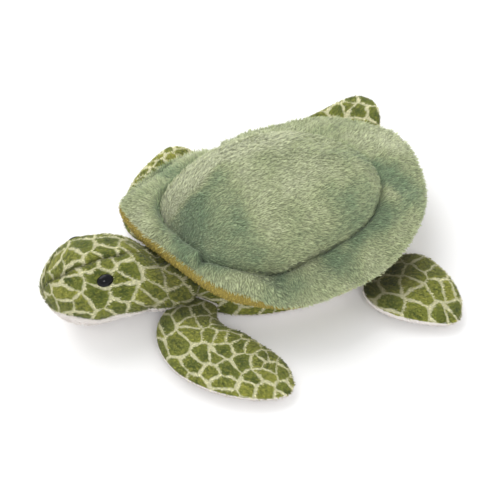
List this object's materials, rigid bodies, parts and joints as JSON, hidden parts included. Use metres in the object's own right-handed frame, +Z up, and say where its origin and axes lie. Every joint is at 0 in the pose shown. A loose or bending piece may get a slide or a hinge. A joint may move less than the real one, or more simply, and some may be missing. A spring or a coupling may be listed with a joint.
{
  "type": "plush turtle",
  "caption": "Stuffed sea turtle lying on its belly: furry domed shell with a wavy rim, scale-print head and paddle flippers, white undersides, glossy dark eyes.",
  "frame": {"origin": "on the floor, under the middle of the whole turtle's box", "axes": "+Z up from the belly, -Y towards the nose, +X towards the turtle's left side"},
  "size_m": [0.2278, 0.2686, 0.0775],
  "materials": {
    "shell_plush": "long soft pile, sage green",
    "ochre_lining": "short pile, ochre",
    "scale_plush": "short pile printed with olive scales on a cream net",
    "white_plush": "short soft pile, off-white",
    "polyester_fibre": "loose fibre",
    "pellet_calico": "plain weave",
    "eye_plastic": "polished",
    "washer_nylon": "moulded"
  },
  "bodies": {
    "torso": {"shell_dome_cover": "shell_plush", "shell_rim_cover": "shell_plush", "shell_lining": "ochre_lining", "shell_stuffing": "polyester_fibre", "body_back_panel": "scale_plush", "belly_panel": "white_plush", "body_stuffing": "polyester_fibre", "pellet_bag": "pellet_calico"},
    "neck": {"neck_stuffing": "polyester_fibre"},
    "head": {"cheek_left": "scale_plush", "cheek_right": "scale_plush", "head_gusset": "scale_plush", "chin_panel": "white_plush", "head_stuffing": "polyester_fibre", "eye_left": "eye_plastic", "eye_right": "eye_plastic", "eye_washer_left": "washer_nylon", "eye_washer_right": "washer_nylon"},
    "flipper_front_left": {"flipper_front_left_top": "scale_plush", "flipper_front_left_underside": "white_plush", "flipper_front_left_stuffing": "polyester_fibre"},
    "flipper_front_right": {"flipper_front_right_top": "scale_plush", "flipper_front_right_underside": "white_plush", "flipper_front_right_stuffing": "polyester_fibre"},
    "flipper_rear_left": {"flipper_rear_left_top": "scale_plush", "flipper_rear_left_underside": "white_plush", "flipper_rear_left_stuffing": "polyester_fibre"},
    "flipper_rear_right": {"flipper_rear_right_top": "scale_plush", "flipper_rear_right_underside": "white_plush", "flipper_rear_right_stuffing": "polyester_fibre"}
  },
  "joints": [
    {"name": "head_turn", "type": "hinge", "parent": "torso", "child": "neck", "pos_m": [0.0006, -0.03805, 0.019], "axis": [0, 0, 1], "range_deg": [-12, 12], "stiffness_Nm_per_rad": 0.05},
    {"name": "head_nod", "type": "hinge", "parent": "neck", "child": "head", "pos_m": [0.0006, -0.03805, 0.019], "axis": [-1, 0, 0], "range_deg": [-8, 5], "stiffness_Nm_per_rad": 0.1},
    {"name": "flipper_front_left_flap", "type": "hinge", "parent": "torso", "child": "flipper_front_left", "pos_m": [0.03432, -0.04255, 0.0165], "axis": [-0.7517, -0.6595, 0], "range_deg": [-25, 12], "stiffness_Nm_per_rad": 0.05},
    {"name": "flipper_front_right_flap", "type": "hinge", "parent": "torso", "child": "flipper_front_right", "pos_m": [-0.03312, -0.04255, 0.0165], "axis": [-0.7517, 0.6595, 0], "range_deg": [-25, 12], "stiffness_Nm_per_rad": 0.05},
    {"name": "flipper_rear_left_flap", "type": "hinge", "parent": "torso", "child": "flipper_rear_left", "pos_m": [0.05266, 0.07045, 0.015], "axis": [0.3467, -0.938, 0], "range_deg": [-30, 12], "stiffness_Nm_per_rad": 0.05},
    {"name": "flipper_rear_right_flap", "type": "hinge", "parent": "torso", "child": "flipper_rear_right", "pos_m": [-0.05146, 0.07045, 0.015], "axis": [0.3467, 0.938, 0], "range_deg": [-30, 3], "stiffness_Nm_per_rad": 0.05}
  ]
}
